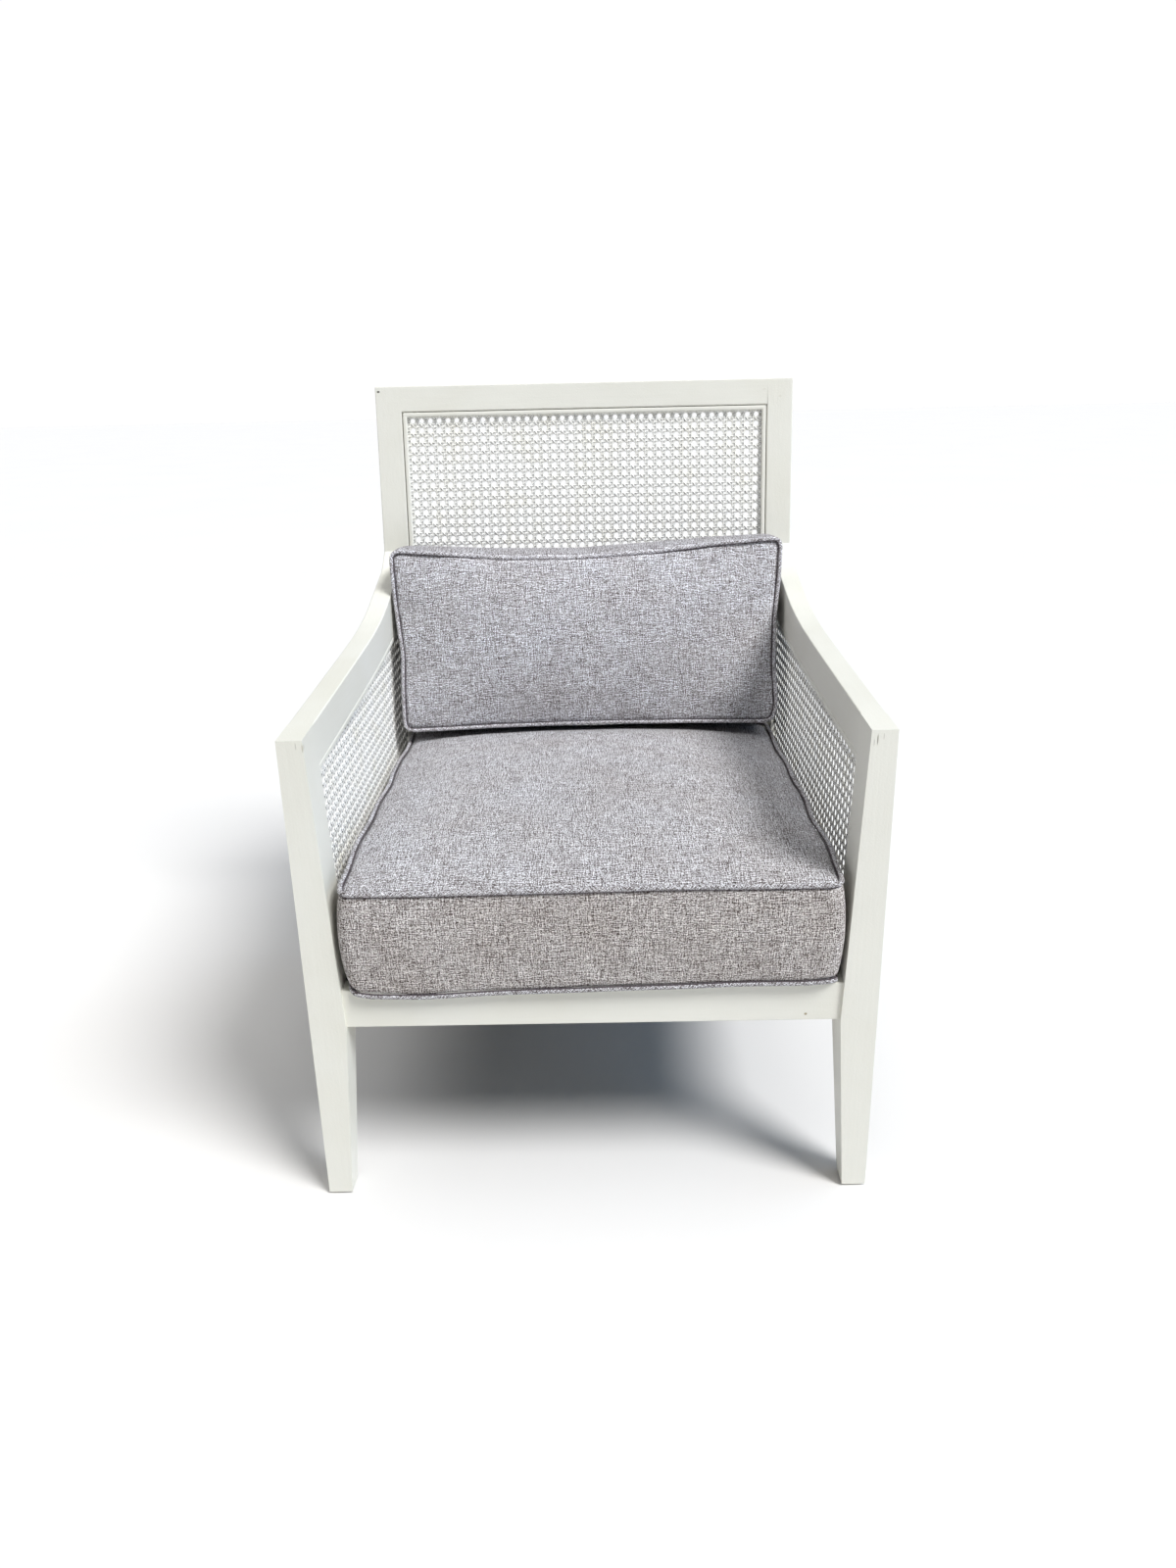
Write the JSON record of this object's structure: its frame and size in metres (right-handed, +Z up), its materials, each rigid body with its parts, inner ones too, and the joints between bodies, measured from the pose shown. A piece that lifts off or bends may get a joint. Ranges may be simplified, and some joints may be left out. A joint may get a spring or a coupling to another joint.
{
  "type": "cane accent chair",
  "caption": "Low wood armchair with cane back and sides, arms that sweep up to a leaning back, splayed tapered legs, and a loose piped seat cushion and back cushion.",
  "frame": {"origin": "on the floor, under the middle of the chair's outer box", "axes": "+Z up, the front of the chair towards -Y, the sitter's left arm towards +X"},
  "size_m": [0.696, 0.7446, 0.979],
  "materials": {
    "painted_frame": "satin off-white paint over wood",
    "painted_cane": "woven cane, painted off-white",
    "bare_wood": "bare beech",
    "screw_steel": "plated",
    "webbing": "elastic upholstery webbing",
    "deck_cloth": "plain non-woven cloth",
    "glide_plastic": "nylon",
    "cushion_cloth": "heathered linen-look weave",
    "foam": "open-cell foam with fibre wrap"
  },
  "bodies": {
    "frame": {"front_leg_left": "painted_frame", "front_leg_right": "painted_frame", "back_leg_left": "painted_frame", "back_leg_right": "painted_frame", "front_seat_rail": "painted_frame", "back_seat_rail": "painted_frame", "side_seat_rail_left": "painted_frame", "side_seat_rail_right": "painted_frame", "arm_left": "painted_frame", "arm_right": "painted_frame", "back_top_rail": "painted_frame", "back_lower_rail": "painted_frame", "back_front_stops": "painted_frame", "back_rear_stops": "painted_frame", "side_inner_stops_left": "painted_frame", "side_inner_stops_right": "painted_frame", "side_outer_stops_left": "painted_frame", "side_outer_stops_right": "painted_frame", "back_cane": "painted_cane", "side_cane_left": "painted_cane", "side_cane_right": "painted_cane", "corner_block_front_left": "bare_wood", "corner_block_front_right": "bare_wood", "corner_block_back_left": "bare_wood", "corner_block_back_right": "bare_wood", "corner_block_screws": "screw_steel", "seat_frame_dowels": "bare_wood", "arm_dowels": "bare_wood", "back_frame_dowels": "bare_wood", "long_straps": "webbing", "cross_straps": "webbing", "deck_cloth": "deck_cloth", "foot_glides": "glide_plastic"},
    "seat_cushion": {"seat_cushion": "cushion_cloth", "seat_foam_core": "foam"},
    "back_cushion": {"back_cushion": "cushion_cloth", "back_cushion_core": "foam"}
  },
  "joints": [
    {"name": "seat_cushion_pull", "type": "slide", "parent": "frame", "child": "seat_cushion", "axis": [0, -1, 0], "range_m": [0, 0.6]},
    {"name": "back_cushion_lift", "type": "slide", "parent": "frame", "child": "back_cushion", "axis": [0, 0, 1], "range_m": [0, 0.35]}
  ]
}
